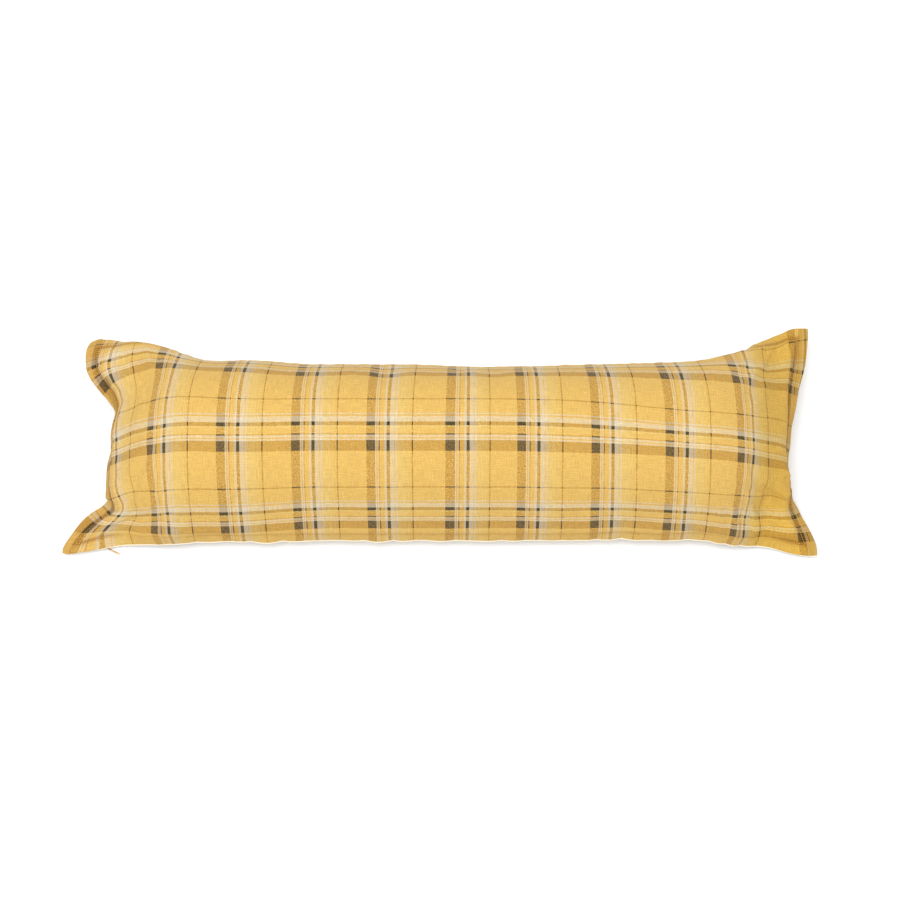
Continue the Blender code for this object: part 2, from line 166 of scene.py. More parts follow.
# Where the cloth lies off the straight: reach, and how far its pattern is carried back, way 0
# along it or 1 across
DRIFTS = table(
    "p q along across way carry",
    (0.4, 0, 0.19, 0.4, 1, 0.0115), (0.31, 0.045, 0.19, 0.09, 1, 0.0105),
    (0.44, 0.11, 0.11, 0.08, 1, 0.011), (0.492, 0, 0.085, 0.6, 0, -0.027),
    (-0.492, 0.1, 0.085, 0.15, 0, 0.01), (-0.4, 0, 0.07, 0.3, 0, 0.004),
    (-0.4, 0.11, 0.2, 0.105, 1, -0.014), (-0.32, -0.14, 0.17, 0.09, 1, 0.0085),
    (-0.44, -0.13, 0.07, 0.07, 1, 0.006), (-0.45, -0.06, 0.08, 0.06, 1, -0.011),
    (-0.44, 0.01, 0.07, 0.08, 1, -0.004), (0.23, -0.01, 0.19, 0.22, 1, 0.0036),
    (0.47, -0.13, 0.11, 0.085, 1, 0.012), (0.36, -0.15, 0.12, 0.07, 1, 0.003),
    (0.465, 0, 0.06, 0.6, 0, -0.004), (0.23, -0.15, 0.18, 0.12, 0, -0.0025),
    (0.012, 0, 0.06, 0.6, 0, -0.0045), (-0.035, 0.14, 0.12, 0.15, 0, -0.003),
)
LEFTWARD = 0.0041  # the whole pattern lies this much further left
RIGHT_GATHER, RIGHT_GATHER_TO = 0.014, 0.36  # gathered share of the right half, out to here
FAR_GATHER, FAR_GATHER_TO = 0.02, 0.34  # and more near the far edge, on both sides
FAR_EDGE, FAR_GATHER_REACH = 0.178, 0.15

# Rows of the flange, from the seam round its edge and under: distance, rise over its middle
FRONT_ROWS = np.array((
    (0.5, 0.5), (1.2, 0.9), (2.2, 1.2), (3.6, 1.32), (5.5, 1.32), (7.8, 1.3), (10.2, 1.3),
    (12.6, 1.3), (14.4, 1.26), (15.4, 1.12), (15.9, 0.82), (16.0, 0.48), (15.8, 0.18), (14.8, 0.06),
)) * MM
BACK_ROWS = np.array((
    (1.0, -0.7), (3.0, -1.2), (7.0, -1.3), (12.0, -1.3), (15.0, -1.25), (16.4, -1.05),
    (17.0, -0.7), (17.1, -0.4), (16.8, -0.14), (15.0, -0.06),
)) * MM
NEAR_LIP = 2.0 * MM  # along the near side the back's turned edge rises this much more
LIP_REACH = 60.0 * MM  # over this much seam from each corner
SEAM_RISE = 0.3 * MM  # of each panel at the stitched seam
PAINTED_GROOVE_REACH = 2.0 * MM  # over which the seam's painted groove shade fades
PAINTED_GROOVE_SHADE = (0.6, 0.75, 0.88)  # painted shade of the seam's groove: what it takes from red, green and blue
# The painted groove shade's share along the near side, open to the light, and how far that is across and
# from an end
NEAR_SHADE_SHARE, NEAR_SHADE_ACROSS, NEAR_SHADE_ENDS = 0.3, 0.03, 0.06
END_FLANGE_PAINTED_SHADE, SIDE_FLANGE_PAINTED_SHADE, FLANGE_SHADE_EASE = 0.26, 0.02, 0.004  # painted shade of the flange, and how soon

# Stitches: half length by the pitch, radius, rise, rings, sides, power of the ends
STITCH_HALF, STITCH_RADIUS, STITCH_RISE = 0.36, 0.00034, 0.00012
STITCH_RINGS, STITCH_SIDES, STITCH_BLUNT = 5, 6, 0.7
# The pull: thickness, half widths of head, neck and tip, rings, sides, power of the section
PULL_THICK, PULL_HEAD, PULL_NECK, PULL_TIP = 1.2 * MM, 1.8 * MM, 0.9 * MM, 1.2 * MM
PULL_RINGS, PULL_SIDES, PULL_ROUND = 49, 16, 0.6

# The stage
FLOOR_HALF, FLOOR_DEPTH = 6.0, 0.0004  # half its side, and how far it lies below
DAYLIGHT, DAYLIGHT_STRENGTH = (1.0, 0.98, 0.925, 1.0), 1.11
WINDOW_AT, WINDOW_SIZE, WINDOW_WATTS = (-0.4, -0.6, 2.8), 2.4, 80.0
CAMERA_AIM, CAMERA_ELEVATION, CAMERA_DISTANCE = (0.0125, -0.0326, 0.075), 68.0, 2.8
LENS, SENSOR = 85.3, 36.0

# Warp stripes, across the width: start in mm from the broad stripe's left edge, yarn
WARP_REPEAT = 96.0
WARP_FIRST = 17.5  # the first broad stripe's left edge, from the panel's left edge
WARP_SPREAD = (495.0, 2.0)  # left of this place, they lie this much further left
WARP = (
    (0.0, "smoke"), (11.0, "cream"), (12.4, "amber"), (13.9, "cream"), (15.6, "brown"),
    (16.9, "gold"), (22.8, "cream"), (25.6, "coal"), (29.7, "cream"), (35.5, "gold"),
    (36.7, "cream"), (39.2, "straw"), (50.0, "gold"), (51.8, "straw"), (53.8, "gold"),
    (57.9, "bark"), (59.4, "gold"),
)
# Weft stripes, along the length: start in mm from the fine cream line, yarn
WEFT_REPEAT = 119.9
WEFT_FIRST = 35.5  # the first fine cream line's upper edge, from the panel's far edge
WEFT = (
    (0.0, "cream"), (1.6, "amber"), (4.0, "cream"), (11.7, "coal"), (16.6, "straw"),
    (19.1, "gold"), (26.9, "brown"), (28.8, "cream"), (32.0, "amber"), (33.3, "cream"),
    (35.6, "smoke"), (49.5, "gold"), (97.7, "smoke"), (99.3, "gold"),
)
# Yarns: what each adds to the cloth in linear colour, and its kind. Kind 0 is pale and 1 dark.
YARNS = {
    "gold": ((0.863, 0.552, 0.152), 0.5),
    "amber": ((0.78, 0.465, 0.115), 0.5),
    "straw": ((0.863, 0.628, 0.222), 0.5),
    "brown": ((0.62, 0.322, 0.054), 0.75),
    "cream": ((0.82, 0.71, 0.52), 0.0),
    "smoke": ((0.467, 0.23, 0.033), 0.9),
    "coal": ((0.43, 0.215, 0.03), 1.0),
    "bark": ((0.33, 0.17, 0.032), 1.0),
}
SMOKE_OVER_SMOKE = (0.178, 0.118, 0.048)
COAL_OVER_COAL = (0.07, 0.062, 0.031)
CREAM_OVER_DARK = (0.578, 0.458, 0.298)
# Painted shade of the right end, which lies away from the lamp: between these places, in mm from
# the panel's left edge, the gold deepens by this colour
PAINTED_END_SHADE_PLACES = (895.0, 945.0)
PAINTED_END_SHADE = (0.97, 0.93, 0.64)
STRIPE_WANDER = 0.9  # how far noise carries a stripe's edge, in mm
# Noise of the cloths: cycles per metre along and across, detail and roughness
WANDER, GRAIN = (260.0, 260.0, 3.0, 0.5), (900.0, 900.0, 3.0, 0.65)
TWILL, CREAM_GRAIN = (260.0, 560.0, 2.0, 0.5), (700.0, 700.0, 3.0, 0.6)
SLUBS, CREAM_SLUBS = (1100.0, 60.0), (1000.0, 60.0)  # cycles per metre across and along a yarn
# What each adds to the weft's share of a place, and to the tone: factor and offset
WEAVE_SHARE, GRAIN_SHARE, TWILL_SHARE = 0.22, (1.9, -0.45), (1.8, -0.9)
SLUB_TONE, GRAIN_TONE, TWILL_TONE = (0.5, 0.5), (1.0, 0.5), (0.4, 0.8)
SPECKLE = (1.4, 0.3)  # of the weft's share, on a dark crossing
# The kinds' product where two darks cross, its range from smoke to coal, and the sum of dark by
# pale, both ways, where cream crosses a dark
DARK_CROSSING, CROSSING_DEPTH, CREAM_CROSSING = 0.66, (0.81, 0.95), 0.76


def length_of(name, description, default, least=0.0):
    """A property for a length, in metres."""
    return bpy.props.FloatProperty(
        name=name, description=description, default=default, min=least, unit="LENGTH")


def colour_of(name, description, default):
    """A property for a colour in linear red, green and blue."""
    return bpy.props.FloatVectorProperty(
        name=name, description=description, default=default, size=3, min=0.0, max=1.0, subtype="COLOR")


class PillowSizes(bpy.types.PropertyGroup):
    flat_length: length_of("Flat length", "Length of the panels, edge to edge", 1.016, 0.3)
    flat_width: length_of("Flat width", "Width of the panels, edge to edge", 0.3556, 0.2)
    flange_width: length_of("Flange", "Stitched margin outside the seam", 0.016, 0.005)
    near_seam_height: length_of("Seam height", "Height of the near seam at its middle", 0.038)
    section_radius: length_of(
        "Crown radius", "Radius of the front across its highest thread", 0.0957, 0.01)
    end_roll: length_of("End roll", "Cloth over which the crown rolls off at each end", 0.180, 0.01)
    cloth_grid: length_of("Cloth grid", "Spacing of the front's mesh", 0.0031, 0.001)
    stitch_pitch: length_of("Stitch pitch", "From one stitch to the next", 0.0032, 0.001)
    yarn_pitch: length_of("Yarn pitch", "From one yarn to the next", 0.00062, 0.0002)


class PillowColours(bpy.types.PropertyGroup):
    back: colour_of("Back", "Cream cloth of the back", (0.74, 0.66, 0.50))
    thread: colour_of("Thread", "Sewing thread of the seam", (0.74, 0.46, 0.11))
    brass: colour_of("Brass", "Zip pull and slider", (0.46, 0.28, 0.12))
    floor: colour_of("Floor", "Plain floor under the pillow", (0.75, 0.755, 0.785))
    cloth_level: bpy.props.FloatProperty(
        name="Cloth level", description="How much of the yarns' colour the cloth shows",
        default=0.55, min=0.0, max=1.0, subtype="FACTOR")


# ---- The cloth's shape

def ease(distance, reach):
    """1 at distance 0, falling along half a cosine wave to 0 at reach and beyond."""
    return 0.5 * (1.0 + np.cos(np.pi * np.clip(distance / reach, 0.0, 1.0)))


def spot(p, q, place):
    """1 at a table row's place on the flat cloth, easing to 0 along and across it."""
    return ease(np.abs(p - place["p"]), place["along"]) * ease(np.abs(q - place["q"]), place["across"])


def unit(vectors):
    return vectors / np.linalg.norm(vectors, axis=-1, keepdims=True)


def lengths_along(line):
    """How far along a line each of its points lies."""
    return np.concatenate(((0.0,), np.cumsum(np.linalg.norm(np.diff(line, axis=0), axis=1))))


def seam_lines(half, spacing):
    """Evenly spaced grid lines from seam to seam, with one at the middle."""
    return np.linspace(-half, half, 2 * round(half / spacing) + 1)


def ripple(along, longest, shortest, seed):
    """Sum of sine waves of seeded lengths and phases, scaled to about -1 to 1."""
    draw = np.random.default_rng(seed)
    length = draw.uniform(shortest, longest, RIPPLE_WAVES)[:, None]
    phase = draw.uniform(0.0, 2.0 * np.pi, RIPPLE_WAVES)[:, None]
    total = np.sin(2.0 * np.pi * np.ravel(along) / length + phase).sum(axis=0)
    return total.reshape(np.shape(along)) / math.sqrt(RIPPLE_WAVES)


def section(sizes, q, seam_q):
    """Height of the front's arc over its near seam, and over its far seam.

    The arc's slope angle is the cloth's distance from the highest thread over the radius, less
    the easing times that distance cubed, and the height is the running sum of its sine.
    """
    fine = np.linspace(-seam_q, seam_q, SECTION_STEPS)
    past = SECTION_TOP - fine
    sine = np.sin(past / sizes.section_radius - SECTION_EASING * past ** 3)
    climb = 0.5 * (sine[1:] + sine[:-1]) * np.diff(fine)
    height = np.concatenate(((0.0,), np.cumsum(climb)))
    return np.interp(q, fine, height), height[-1]


def along_thread(flat, height, sideways, axis):
    """Where a thread's points lie on the level: each cell keeps its length while it climbs.

    A cell's run is the root of its flat length squared less its climb and its sideways drift
    squared. The runs are added up along the thread.
    """
    length = np.diff(flat, axis=axis)
    spent = np.diff(height, axis=axis) ** 2 + np.diff(sideways, axis=axis) ** 2
    run = np.cumsum(np.sqrt(np.maximum(length ** 2 - spent, 0.01 * length ** 2)), axis=axis)
    return np.concatenate((np.zeros_like(np.take(run, [0], axis=axis)), run), axis=axis)


def eased_steps(place, knots):
    """Values between knots, passing from each to the next along half a cosine wave."""
    at, value = np.array(knots, float).T
    step = np.clip(np.searchsorted(at, place, side="right") - 1, 0, len(at) - 2)
    share = np.clip((place - at[step]) / (at[step + 1] - at[step]), 0.0, 1.0)
    return value[step] + (value[step + 1] - value[step]) * (0.5 - 0.5 * np.cos(np.pi * share))


def sewn_panels(sizes, spacing):
    """Front and back from seam to seam, and the flat places p and q.

    The seams' heights ease to the corners', and draws and pushes shift them. The front is the
    section's arc over the seams, times a quarter cosine that rolls it off at the ends. The back
    falls by a cosine across the width until the surface stops it.
    """
    seam = [0.5 * flat - sizes.flange_width for flat in (sizes.flat_length, sizes.flat_width)]
    p, q = np.meshgrid(*(seam_lines(half, spacing) for half in seam), indexing="ij")
    into_roll = np.clip((np.abs(p) - seam[0] + sizes.end_roll) / sizes.end_roll, 0.0, 1.0)
    filled = np.cos(0.5 * np.pi * into_roll)
    arc, far_rise = section(sizes, q, seam[1])
    across = 0.5 + 0.5 * q / seam[1]
    level = sizes.near_seam_height + far_rise * across
    shift = np.zeros(p.shape + (2,))
    for corner in CORNERS:
        near = spot(p, q, {**corner, "p": corner["end"] * seam[0], "q": corner["side"] * seam[1]})
        usual = sizes.near_seam_height + (far_rise if corner["side"] > 0 else 0.0)
        level += near * (corner["height"] - usual)
        shift += near[..., None] * np.array(corner["shift"])
    for draw in END_DRAWS:
        near = spot(p, q, {**draw, "p": draw["end"] * seam[0], "along": END_DRAW_ALONG})
        shift[..., 0] -= draw["end"] * draw["depth"] * near
    for push in PUSHES:
        near = spot(p, q, push)
        shift += near[..., None] * np.array(push["move"][:2])
        level += near * push["move"][2]

    top = level + filled * (arc - far_rise * across)
    bottom = level - BACK_CROWN * filled * np.cos(0.5 * np.pi * q / seam[1])
    bottom = np.where(bottom < BASE_SNAP, 0.0, bottom)
    x, y = p.copy(), q.copy()
    for _ in range(RELAXATIONS):
        run_x, run_y = along_thread(p, top, y, 0), along_thread(q, top, x, 1)
        x = 0.5 * (x + run_x - run_x[len(run_x) // 2])
        y = 0.5 * (y + run_y - 0.5 * run_y[:, -1:])
    x, y = x + shift[..., 0], y + shift[..., 1]
    return np.stack((x, y, top), -1), np.stack((x, y, bottom), -1), p, q


def side_droop(sizes, name, place, height):
    """Droop of the flange along one side, in radians: its knots', with a slight seeded wave.

    Its sine is at most the seam's height over the flange's foot, over the flange's width.
    """
    wave = math.radians(DROOP_WAVE) * np.abs(ripple(place, *DROOP_WAVES, DROOP_SEED + len(name)))
    room = np.clip((height - FLANGE_FOOT) / sizes.flange_width, LEAST_ROOM, 1.0)
    return np.minimum(np.radians(eased_steps(place, FLANGE_DROOP[name])) - wave, np.arcsin(room))


def flange_frame(seam_line, level_out, droop, run_on):
    """Direction in which the flange hangs from a seam line, and the normal of its upper face.

    The flange lies square to the seam, evened out along it, and turned down from the level by
    its droop. Near a corner it turns to the way the other seam runs on, as its threads do.
    """
    along = unit(np.gradient(seam_line, axis=0))
    level = unit(level_out - along * (along @ level_out)[:, None])
    place = lengths_along(seam_line)
    level = unit(ease(np.abs(place[:, None] - place), FLANGE_STIFF) @ level)
    for away, onward in ((place, run_on[0]), (place[-1] - place, run_on[1])):
        level = unit(level + ease(away, SKEW_REACH)[:, None] * (onward - level))
    up = np.cross(along, level)
    up *= np.sign(up[:, 2:3])
    down = droop[:, None]
    return np.cos(down) * level - np.sin(down) * up, np.cos(down) * up + np.sin(down) * level


def outwards(grid, end, count):
    """A grid's first or last rows, in order from the seam to the edge."""
    return grid[:count][::-1] if end == 0 else grid[-count:]


def with_flange(sizes, body, p, q, rows, seam_rise, near_lip=0.0):
    """Adds the flange's rows round a seam-to-seam sheet.

    A row lies its distance along the hanging direction from the seam, and its rise along the
    normal. A corner adds both sides' distances, each cut by up to its roundness, and takes the
    outer row's rise. Near-side rows past the front's edge rise by the lip as well.
    """
    count = len(rows)
    out, rise = rows[:, 0], rows[:, 1]
    grid = np.zeros((body.shape[0] + 2 * count, body.shape[1] + 2 * count, 3))
    lift, hang, up = np.zeros_like(body), {}, {}
    for name, axis, end in SIDES:
        seam, place = np.take(body, end, axis), (q[0], p[:, 0])[axis]
        onward = seam - np.take(body, 2 if end == 0 else -3, axis)
        run_on = [unit(onward[corner] * (1.0, 1.0, 0.0)) for corner in (0, -1)]
        level = np.zeros(3)
        level[axis] = -1.0 if end == 0 else 1.0
        hanging, upward = flange_frame(seam, level, side_droop(sizes, name, place, seam[:, 2]), run_on)
        strip = seam + out[:, None, None] * hanging + rise[:, None, None] * upward
        if name == "near":
            past = np.clip((out - FRONT_ROWS[:, 0].max()) / MM, 0.0, 1.0)
            inside = 1.0 - ease(np.abs(place).max() - np.abs(place), LIP_REACH)
            strip += near_lip * past[:, None, None] * inside[None, :, None] * upward
        outwards(grid.swapaxes(0, axis), end, count)[:, count:-count] = strip
        lift.swapaxes(0, axis)[end] += upward
        hang[axis, end], up[axis, end] = hanging, upward
    lift /= np.maximum(np.linalg.norm(lift, axis=-1, keepdims=True), 1.0)
    grid[count:-count, count:-count] = body + seam_rise * lift

    share = out / out.max()
    corner_rise = rise[np.maximum.outer(np.arange(count), np.arange(count))]
    for corner in CORNERS:
        row, column = (0 if corner[way] < 0 else -1 for way in ("end", "side"))
        along_out = out[:, None] * (1.0 - corner["round"] * share[None, :] ** 2)
        across_out = out[None, :] * (1.0 - corner["round"] * share[:, None] ** 2)
        upward = unit(up[0, row][column] + up[1, column][row])
        patch = (body[row, column] + along_out[..., None] * hang[0, row][column]
                 + across_out[..., None] * hang[1, column][row] + corner_rise[..., None] * upward)
        outwards(outwards(grid, row, count).swapaxes(0, 1), column, count)[:] = patch.swapaxes(0, 1)
    return grid


def flat_map(p, q, rows):
    """Flat places of every grid point, the flange's included, with the cloth's drifts and gathers."""
    out = rows[:, 0]
    p_line = np.concatenate((p[0, 0] - out[::-1], p[:, 0], p[-1, 0] + out))
    q_line = np.concatenate((q[0, 0] - out[::-1], q[0], q[0, -1] + out))
    flat = np.stack(np.meshgrid(p_line, q_line, indexing="ij"), -1)
    p, q = flat[..., 0].copy(), flat[..., 1].copy()
    for drift in DRIFTS:
        flat[..., drift["way"]] += spot(p, q, drift) * drift["carry"]
    flat[..., 0] += LEFTWARD + RIGHT_GATHER * np.clip(p, 0.0, RIGHT_GATHER_TO)
    far = ease(FAR_EDGE - q, FAR_GATHER_REACH)
    flat[..., 0] += FAR_GATHER * far * np.clip(p, -FAR_GATHER_TO, FAR_GATHER_TO)
    return flat


def from_segment(p, q, start, end):
    """Share of the way along a segment, and the distance from it, on the flat cloth."""
    run = np.subtract(end, start)
    share = ((p - start[0]) * run[0] + (q - start[1]) * run[1]) / (run @ run)
    held = np.clip(share, 0.0, 1.0)
    return share, np.hypot(p - start[0] - held * run[0], q - start[1] - held * run[1])


def swell(away, most, at):
    """Rises from 0 at a seam to the most at its place and fades: x e to the (1 - x)."""
    return most * (away / at) * np.exp(1.0 - away / at)


def waves(kind, first, second):
    """Two seeded ripples multiplied, times their height."""
    return kind[0] * ripple(first, *kind[1]) * ripple(second, *kind[2])


def puckers(kind, along, across, from_seam):
    """Short seeded waves along a seam, fading with the distance from it as e to the minus x."""
    height, kinds, fade, apart = kind
    return height * np.exp(-from_seam / fade) * ripple(along + np.where(across > 0.0, apart, 0.0), *kinds)


def filling_lift(p, q, filling):
    """How far the front stands off its smooth shape, along its normal.

    Seeded waves make undulations and dimples, and short ones along each seam its puckers. A
    hollow or fold is its lift times an easing of the distance.
    """
    from_end, from_side = (np.abs(flat).max() - np.abs(flat) for flat in (p, q))
    turn = 0.9 * p + 0.5 * q, 0.35 * p - 0.95 * q, 0.2 * p + 1.0 * q
    lift = waves(UNDULATIONS, turn[0], turn[1]) + waves(DIMPLES, turn[1] + 0.2 * p, turn[0] - turn[2])
    lift += puckers(SIDE_PUCKERS, p, q, from_side)
    lift += puckers(END_PUCKERS, q, p, from_end)
    for hollow in HOLLOWS:
        away = np.hypot((p - hollow["p"]) / hollow["along"], (q - hollow["q"]) / hollow["across"])
        lift += hollow["lift"] * ease(away, 1.0)
    for fold in FOLDS:
        share, away = from_segment(p, q, fold["start"], fold["end"])
        fading = np.clip(1.0 - share, 0.0, 1.0) ** FOLD_FADE
        width = fold["half"] * (FOLD_NARROW + np.clip(share, 0.0, 1.0))
        lift += fold["lift"] * fading * ease(away, width)
    lift *= (1.0 - np.exp(-from_side / SEWN_DOWN)) * (1.0 - np.exp(-from_end / SEWN_DOWN))
    lift += swell(from_end, *END_SWELL) * np.minimum(1.0, from_side / SWELL_CORNER)
    lift += swell(from_side, *SIDE_SWELL) * np.minimum(1.0, from_end / SWELL_CORNER)
    return np.maximum(lift, -LEAST_FILLING * filling)


def sheet_normals(sheet):
    """Unit normals of a grid of points: the cross product of its two gradients."""
    return unit(np.cross(np.gradient(sheet, axis=0), np.gradient(sheet, axis=1)))


def resampled(values, rows, columns):
    """A grid's values at an evenly spaced grid of another size, straight between its points."""
    for count in (rows, columns):
        at = np.linspace(0.0, len(values) - 1.0, count)
        low = np.minimum(at.astype(int), len(values) - 2)
        values = values[low] + (at - low)[:, None, None] * (values[low + 1] - values[low])
        values = values.swapaxes(0, 1)
    return values


def settled_move(body, p, q):
    """Runs Blender's cloth on the front and returns how far each point moved.

    The springs' rest lengths are the flat cloth's, the filling presses from inside, and the
    seam is held. Cloth that is longer than its place puckers and folds.
    """
    scene = bpy.context.scene
    rows, columns = body.shape[:2]
    mesh = bpy.data.meshes.new("settling")
    flat = np.stack((p, q, 0.0 * p), -1).reshape(-1, 3)
    mesh.from_pydata(flat.tolist(), [], grid_faces(rows, columns).tolist())
    piece = bpy.data.objects.new("settling", mesh)
    scene.collection.objects.link(piece)
    piece.shape_key_add(name="flat")
    hung = piece.shape_key_add(name="hung")
    hung.data.foreach_set("co", body.astype(np.float32).ravel())
    for number, share in ((1, 0.0), (HUNG_BY, 1.0)):
        hung.value = share
        hung.keyframe_insert("value", frame=number)
    held = piece.vertex_groups.new(name="held")
    border = np.ones((rows, columns), bool)
    border[1:-1, 1:-1] = False
    held.add(np.flatnonzero(border).tolist(), 1.0, "REPLACE")
    from_end = np.clip((np.abs(p).max() - np.abs(p)) / END_REACH, 0.0, 1.0)
    strength = np.round(END_HOLD + (HOLD - END_HOLD) * from_end ** 2, 2)
    for value in np.unique(strength):
        held.add(np.flatnonzero(~border & (strength == value)).tolist(), float(value), "REPLACE")
    cloth = piece.modifiers.new("settling", "CLOTH")
    for name, value in CLOTH_SETTINGS.items():
        setattr(cloth.settings, name, value)
    cloth.settings.effector_weights.gravity = 0.0
    cloth.collision_settings.use_collision = False
    cloth.point_cache.frame_start, cloth.point_cache.frame_end = 1, SETTLING_FRAMES
    for number in range(1, SETTLING_FRAMES + 1):
        scene.frame_set(number)
    graph = bpy.context.evaluated_depsgraph_get()
    result = np.empty(rows * columns * 3, np.float32)
    piece.evaluated_get(graph).data.vertices.foreach_get("co", result)
    bpy.data.objects.remove(piece)
    bpy.data.meshes.remove(mesh)
    scene.frame_set(1)
    move = SETTLED_SHARE * (result.reshape(body.shape) - body)
    far = np.linalg.norm(move, axis=-1, keepdims=True)
    return move * MOST_SETTLED * np.tanh(far / MOST_SETTLED) / np.maximum(far, 1e-9)


def placing_shift(sheet):
    """The level shift that brings the middle of a sheet's box under the CAD pillow's."""
    flat = sheet.reshape(-1, 3)
    own = 0.5 * (flat.min(axis=0) + flat.max(axis=0))
    cad = 0.5 * np.sum(PILLOW_BOX, axis=0)
    return (cad - own) * (1.0, 1.0, 0.0)


def front_body(sizes, spacing):
    """The front from seam to seam with its filling's lift, and its flat places."""
    top, bottom, p, q = sewn_panels(sizes, spacing)
    return top + filling_lift(p, q, (top - bottom)[..., 2])[..., None] * sheet_normals(top), p, q


def front_sheet(sizes, settled=False):
    """The front's grid, its flat places from seam to seam, and the shift that places it."""
    body, p, q = front_body(sizes, sizes.cloth_grid)
    shift = placing_shift(with_flange(sizes, body, p, q, FRONT_ROWS, SEAM_RISE))
    if settled:
        body += resampled(settled_move(*front_body(sizes, SETTLING_GRID)), *body.shape[:2])
    return with_flange(sizes, body, p, q, FRONT_ROWS, SEAM_RISE) + shift, p, q, shift


# ---- Meshes

def grid_faces(rows, columns):
    index = np.arange(rows * columns).reshape(rows, columns)
    return np.stack((index[:-1, :-1], index[1:, :-1], index[1:, 1:], index[:-1, 1:]), -1).reshape(-1, 4)


def tube_faces(rings, sides):
    """Faces between rings of points, each joined to the next."""
    index = np.arange(rings * sides).reshape(rings, sides)
    nexts = np.roll(index, -1, axis=1)
    return np.stack((index[:-1], nexts[:-1], nexts[1:], index[1:]), -1).reshape(-1, 4)


def make_piece(name, points, faces, material, flat=None):
    """A smooth-shaded mesh at the origin, with its flat places as a UV map if given."""
    mesh = bpy.data.meshes.new(name)
    mesh.from_pydata(points.reshape(-1, 3).tolist(), [], faces.tolist())
    if flat is not None:
        layer = mesh.uv_layers.new(name="flat cloth")
        layer.data.foreach_set("uv", flat.reshape(-1, 2)[faces.reshape(-1)].astype(np.float32).ravel())
    mesh.materials.append(material)
    mesh.shade_smooth()
    mesh.validate()
    piece = bpy.data.objects.new(name, mesh)
    bpy.context.scene.collection.objects.link(piece)
    return piece


def paint_seam_shade(piece, p, q):
    """Stores the painted shade of the front: how deep each point lies in the shade of the groove
    and the flange.

    The groove's painted shade is 1 on the seam and fades as e to the minus distance over its reach.
    """
    out = FRONT_ROWS[:, 0]
    past_end = np.concatenate((out[::-1], np.abs(p[:, 0]) - p[-1, 0], out))[:, None]
    past_side = np.concatenate((out[::-1], np.abs(q[0]) - q[0, -1], out))[None]
    outside = np.hypot(np.maximum(past_end, 0.0), np.maximum(past_side, 0.0))
    away = np.where(outside > 0.0, outside, np.minimum(-past_end, -past_side))
    from_near = np.concatenate((np.zeros_like(out), q[0] - q[0, 0], np.ones_like(out)))[None]
    near = ease(from_near, NEAR_SHADE_ACROSS) * (1.0 - ease(-past_end, NEAR_SHADE_ENDS))
    depth = (1.0 - (1.0 - NEAR_SHADE_SHARE) * near) * np.exp(-away / PAINTED_GROOVE_REACH)
    # Painted shade of the flange past the seam, more at the ends than along the sides
    depth += END_FLANGE_PAINTED_SHADE * (1.0 - ease(past_end, FLANGE_SHADE_EASE)) * (past_end > 0.0)
    depth += SIDE_FLANGE_PAINTED_SHADE * (1.0 - ease(past_side, FLANGE_SHADE_EASE)) * (past_side > 0.0) * (past_end <= 0.0)
    # Kept as a point attribute of painted shade, which the plaid cloth reads
    painted_seam_shade = piece.data.attributes.new("painted_seam_shade", "FLOAT", "POINT")
    painted_seam_shade.data.foreach_set("value", np.clip(depth, 0.0, 1.0).astype(np.float32).ravel())


def hand_over(piece, nodes):
    """Tells the frame what the piece rides on, and hides the CAD parts that it stands for."""
    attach(piece, "root")
    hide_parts(*nodes)


# ---- Finishes

def rgba(colour, level=1.0):
    """A colour at a share of its brightness, with its alpha."""
    return tuple(min(1.0, level * part) for part in colour) + (1.0,)


class Graph:
    """Adds nodes to a material. Inputs take numbers, colours or other nodes' sockets."""

    def __init__(self, name):
        self.material = bpy.data.materials.new(name)
        self.material.use_nodes = True
        self.tree = self.material.node_tree
        self.shader = self.tree.nodes["Principled BSDF"]

    def feed(self, socket, value):
        if isinstance(value, bpy.types.NodeSocket):
            self.tree.links.new(value, socket)
        else:
            socket.default_value = value

    def node(self, kind, inputs, output=0, **settings):
        """Adds a node and returns one of its outputs."""
        made = self.tree.nodes.new("ShaderNode" + kind)
        for name, value in settings.items():
            setattr(made, name, value)
        for name, value in inputs.items():
            self.feed(made.inputs[name], value)
        return made.outputs[output]

    def math(self, operation, first, second=0.0, third=0.0):
        return self.node("Math", {0: first, 1: second, 2: third}, operation=operation)

    def times(self, first, second):
        return self.math("MULTIPLY", first, second)

    def linear(self, value, factor, offset):
        return self.math("MULTIPLY_ADD", value, factor, offset)

    def share(self, value, low, high):
        """0 where a value is low, 1 where it is high, and straight between."""
        return self.node("MapRange", {0: value, 1: low, 2: high})

    def rgb(self, red, green, blue):
        return self.node("CombineColor", {0: red, 1: green, 2: blue})

    def mix(self, factor, first, second, blend="MIX"):
        inputs = {0: factor, 6: first, 7: second}
        return self.node("Mix", inputs, 2, data_type="RGBA", blend_type=blend)

    def noise(self, x, y, along, across, detail=2.0, roughness=0.5):
        """Noise at a flat place."""
        inputs = {"X": self.times(x, along), "Y": self.times(y, across)}
        place = self.node("CombineXYZ", inputs)
        inputs = {"Vector": place, "Scale": 1.0, "Detail": detail, "Roughness": roughness}
        return self.node("TexNoise", inputs)

    def slub(self, p, q, across, along):
        """Noise drawn out along the warp yarns plus noise along the weft's."""
        return self.math("ADD", self.noise(p, q, across, along), self.noise(p, q, along, across))

    def bump(self, strength, distance, height):
        inputs = {"Strength": strength, "Distance": distance, "Height": height}
        return self.node("Bump", inputs)

    def finish(self, **inputs):
        """Feeds the shader's own sockets by their names and returns the material."""
        for name, value in inputs.items():
            self.feed(self.shader.inputs[name.replace("_", " ")], value)
        return self.material


